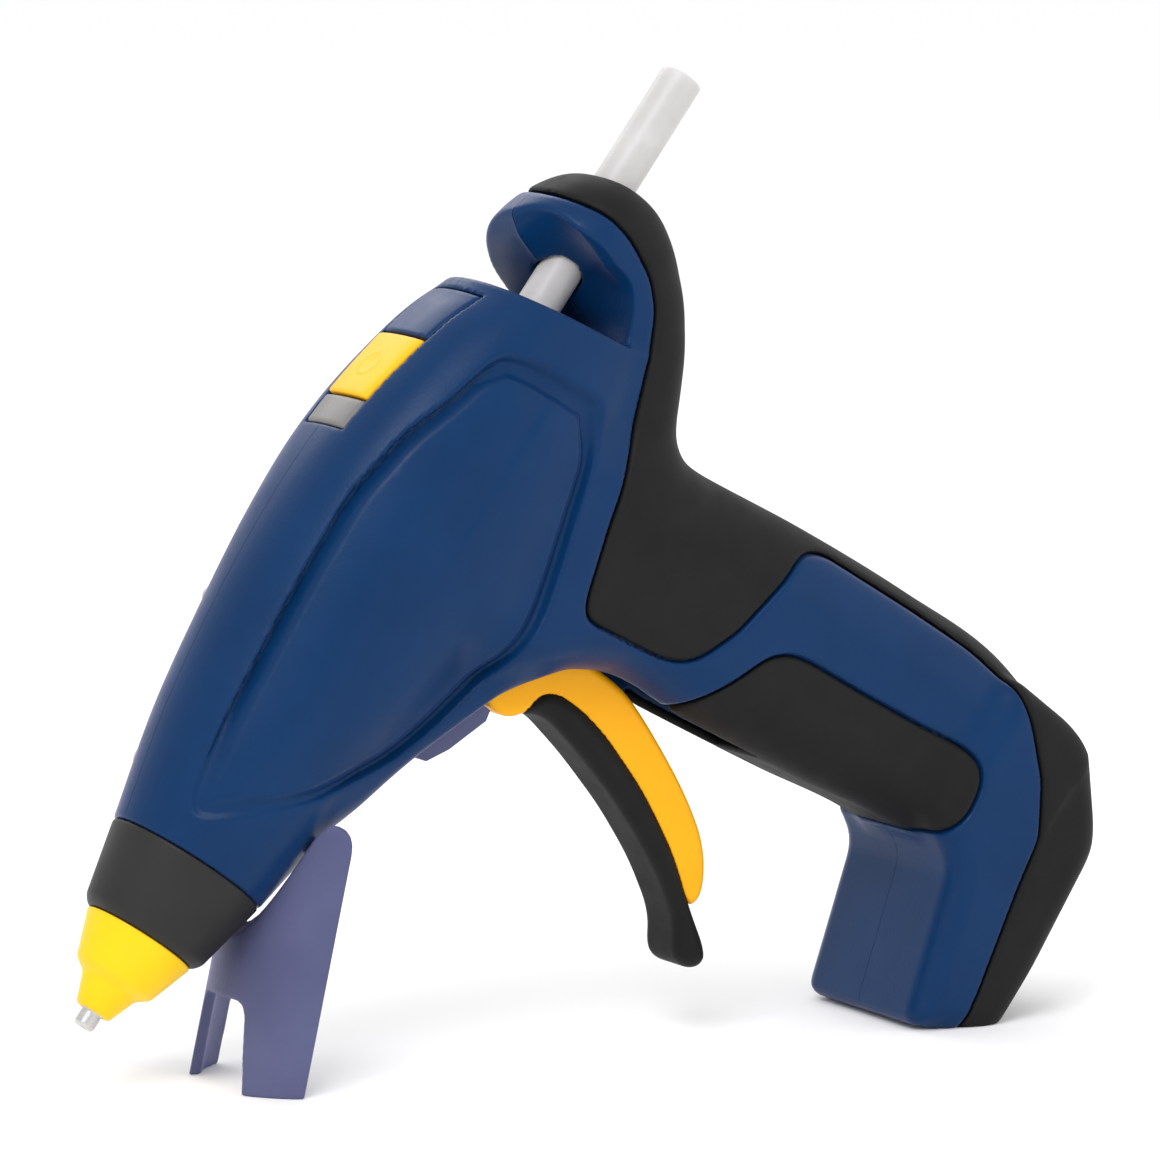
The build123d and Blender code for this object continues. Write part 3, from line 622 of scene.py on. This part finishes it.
# ---------------------------------------------------------------- legs
STAND_LEAN = math.radians(10)
DOWN = Vector((-math.sin(STAND_LEAN), 0, -math.cos(STAND_LEAN)))
AHEAD = Vector((-math.cos(STAND_LEAN), 0, math.sin(STAND_LEAN)))
LEG_RADIUS, LEG_AHEAD, LEG_LENGTH, LEG_THICK, LEG_FLARE = 18.3, 6.7, 42.5, 1.8, 1.9
LEG_HALF_ANGLE, LEG_TOP, LEG_CORNER, LEG_END = math.radians(64), -4.6, 4.5, 46.0
NOTCH_START, NOTCH_TOP_HALF, NOTCH_FOOT_HALF, NOTCH_CORNER = 26.0, 6.6, 9.6, 2.5
EAR_RADIUS, EAR_MIDDLE, EAR_THICK_HALF, KNUCKLE_HALF = 3.6, 12.7, 2.3, 10.3
PIN_BORE, PIN_HALF = 1.56, 12.5
NOSE_CLEARANCE = 0.6
COLLAR_FRONT, COLLAR_REAR, COLLAR_RADIUS, COLLAR_SLOPE = 16, 31.2, 11.7, 0.178
STAND_PIN = Vector(joints["stand_fold"]["pos_m"])


def leg_to_row(points):
    """From forward, down and across about the leg pin, in mm, to the row frame in metres."""
    base = np.array([AHEAD, DOWN, (0, 1, 0)]) * MM
    return np.asarray(points, float) @ base + np.array(STAND_PIN)


def nose_room(ahead, down, y, turned):
    """The gun's front end, a little swollen, as the legs meet it after a turn about their pin."""
    a = ahead * math.cos(turned) - down * math.sin(turned)
    d = ahead * math.sin(turned) + down * math.cos(turned)
    pin_u, pin_v = from_row(STAND_PIN)
    u = pin_u + a * AHEAD.dot(AXIS) + d * DOWN.dot(AXIS)
    v = pin_v + a * AHEAD.dot(LIFT) + d * DOWN.dot(LIFT)
    nose = np.maximum(barrel_field(u, v, y) - NOSE_CLEARANCE, BARREL_FRONT - u)
    nose = np.minimum(nose, chin_field(u, v, y) - NOSE_CLEARANCE)
    collar = np.maximum(np.hypot(v, y) - (COLLAR_RADIUS + (u - COLLAR_FRONT) * COLLAR_SLOPE),
                        np.maximum(COLLAR_FRONT - u, u - COLLAR_REAR))
    return np.minimum(nose, collar)


def carve_legs():
    """The folding stand: part of a cone, with a notch between its feet and an ear at each end of its pin."""
    legs = Grid((-15, -6.5, -18.5), (9, 46, 18.5), FINE_STEP)
    ahead, down, y = legs.u, legs.v, legs.y
    off_line = ahead - (LEG_AHEAD - LEG_RADIUS)
    cone = LEG_RADIUS + LEG_FLARE * np.clip((down - LEG_TOP) / (LEG_LENGTH - LEG_TOP), 0, 1)
    radius = np.hypot(off_line, y)
    shell = np.abs(radius - cone + LEG_THICK / 2) - LEG_THICK / 2
    arc = np.abs(np.arctan2(y, off_line)) * cone
    arc_half, past_middle = LEG_HALF_ANGLE * LEG_RADIUS, -30
    plan = [(past_middle, LEG_TOP), (arc_half, LEG_TOP), (arc_half, LEG_END), (past_middle, LEG_END)]
    sheet = outline_field(soften(plan, LEG_CORNER), arc, down)
    widening = (NOTCH_FOOT_HALF - NOTCH_TOP_HALF) / (LEG_LENGTH - NOTCH_START)
    notch_half = NOTCH_TOP_HALF + widening * (down - NOTCH_START)
    notch = both(np.abs(y) - notch_half, NOTCH_START - down, NOTCH_CORNER)
    shape = cut(both(shell, sheet, 0.5), notch + 0 * ahead, 0.5)
    from_pin = np.hypot(ahead, down)
    for side in (-1, 1):
        ear = np.maximum(from_pin - EAR_RADIUS, np.abs(y * side - EAR_MIDDLE) - EAR_THICK_HALF)
        shape = union(shape, np.maximum(ear, radius - cone + 0.3), 0.4)
    shape = cut(shape, np.maximum(from_pin - EAR_RADIUS, np.abs(y) - KNUCKLE_HALF), 0.3)
    fold = math.radians(joints["stand_fold"]["range_deg"][1])
    for share in (0.0, 0.25, 0.5, 0.75, 1.0):
        shape = cut(shape, nose_room(ahead, down, y, share * fold), 0.3)
    shape = cut(shape, np.maximum(from_pin - PIN_BORE, np.abs(y) - PIN_HALF), 0.2)
    height = STAND_PIN.z / MM + ahead * AHEAD.z + down * DOWN.z       # above the table, in mm
    points, faces = legs.surface(both(shape, -height + 0 * y, 0.3))
    finish_piece("legs", leg_to_row(points), faces[:, ::-1], "stand")


carve_legs()


# ---------------------------------------------------------------- round pieces
def lathe(name, profile, node, rounding=0.5, sides=128):
    """Turn a closed (u, radius) profile about the barrel's line, with its corners rounded."""
    outline = np.array(soften(profile, rounding, 5))
    rings = len(outline)
    angles = np.arange(sides) * 2 * math.pi / sides
    points = np.array([(pu, r * math.cos(a), r * math.sin(a)) for a in angles for pu, r in outline])
    faces = [(i * rings + j, i * rings + (j + 1) % rings, ((i + 1) % sides) * rings + (j + 1) % rings,
              ((i + 1) % sides) * rings + j) for i in range(sides) for j in range(rings)]
    return finish_piece(name, to_row(points), np.array(faces), node, TURNED_SHARP)


lathe("collar", [(17, 8.2), (17, 9.7), (18.4, 10.9), (30.9, 13.65), (30.9, 9.9), (35, 9.9), (35, 8.4),
                 (20, 8.4)], "nose_collar", 0.7)
lathe("sleeve", [(2.8, 1.85), (2.9, 3.0), (7.8, 4.9), (9.2, 6.9), (16.9, 9.6), (16.9, 8.0), (24, 8),
                 (24, 6.5), (9, 6.1), (7.2, 3.75)], "nozzle_sleeve", 0.6)
lathe("tip", [(0, 0.8), (0, 1.4), (0.5, 1.75), (2.7, 1.75), (7.2, 3.6), (8.8, 5.8), (20, 5.8), (20, 1.5),
              (6, 1.5), (4, 0.8)], "nozzle_tip", 0.15)


# ---------------------------------------------------------------- floor, lights and camera
def emitter(name, place, aim, size, power, colour=(1, 1, 1)):
    """A soft box at `place` that faces `aim`, with its size in metres and its power in watts."""
    data = bpy.data.lights.new(name, "AREA")
    data.shape = "RECTANGLE"
    data.size, data.size_y = size
    data.energy = power
    data.color = colour
    lamp = bpy.data.objects.new(name, data)
    lamp.location = place
    lamp.rotation_euler = (Vector(aim) - Vector(place)).to_track_quat("-Z", "Y").to_euler()
    bpy.context.scene.collection.objects.link(lamp)


middle = (cad_box[0] + cad_box[1]) / 2
paper = bpy.data.materials.new("pale_paper")
paper.use_nodes = True
paper_shader = paper.node_tree.nodes["Principled BSDF"]
paper_shader.inputs["Base Color"].default_value = (0.99, 0.99, 0.99, 1)
paper_shader.inputs["Roughness"].default_value = 1.0
floor_data = bpy.data.meshes.new("floor")
FLOOR = 12.0
floor_data.from_pydata([(-FLOOR, -FLOOR, 0), (FLOOR, -FLOOR, 0), (FLOOR, FLOOR, 0), (-FLOOR, FLOOR, 0)], [],
                       [(0, 1, 2, 3)])
floor = bpy.data.objects.new("floor", floor_data)
floor.data.materials.append(paper)
bpy.context.scene.collection.objects.link(floor)

world = bpy.data.worlds.new("studio")
world.use_nodes = True
sky = world.node_tree.nodes["Background"]
sky.inputs["Color"].default_value = (1.0, 1.0, 1.0, 1)
sky.inputs["Strength"].default_value = 1.0
bpy.context.scene.world = world
emitter("key", middle + Vector((-0.55, -0.55, 0.75)), middle, (0.5, 0.5), 5.0, (0.97, 0.95, 1.0))
emitter("fill", middle + Vector((0.7, -0.7, 0.25)), middle, (0.7, 0.7), 0.8)
emitter("back", middle + Vector((0.1, 0.8, 0.6)), middle, (0.8, 0.4), 2.5)

VIEW_TURN, VIEW_DROP, VIEW_DISTANCE = math.radians(29), math.radians(7.7), 1.2
SENSOR, LENS = 36.0, 227.9
aim = middle + Vector((-0.0007, 0, -0.0030))
looking = Vector((math.sin(VIEW_TURN) * math.cos(VIEW_DROP), math.cos(VIEW_TURN) * math.cos(VIEW_DROP),
                  -math.sin(VIEW_DROP)))
camera_data = bpy.data.cameras.new("camera")
camera_data.sensor_width, camera_data.lens = SENSOR, LENS
camera = bpy.data.objects.new("camera", camera_data)
camera.location = aim - looking * VIEW_DISTANCE
camera.rotation_euler = looking.to_track_quat("-Z", "Y").to_euler()
bpy.context.scene.collection.objects.link(camera)
bpy.context.scene.camera = camera
bpy.context.scene.view_settings.view_transform = "Standard"
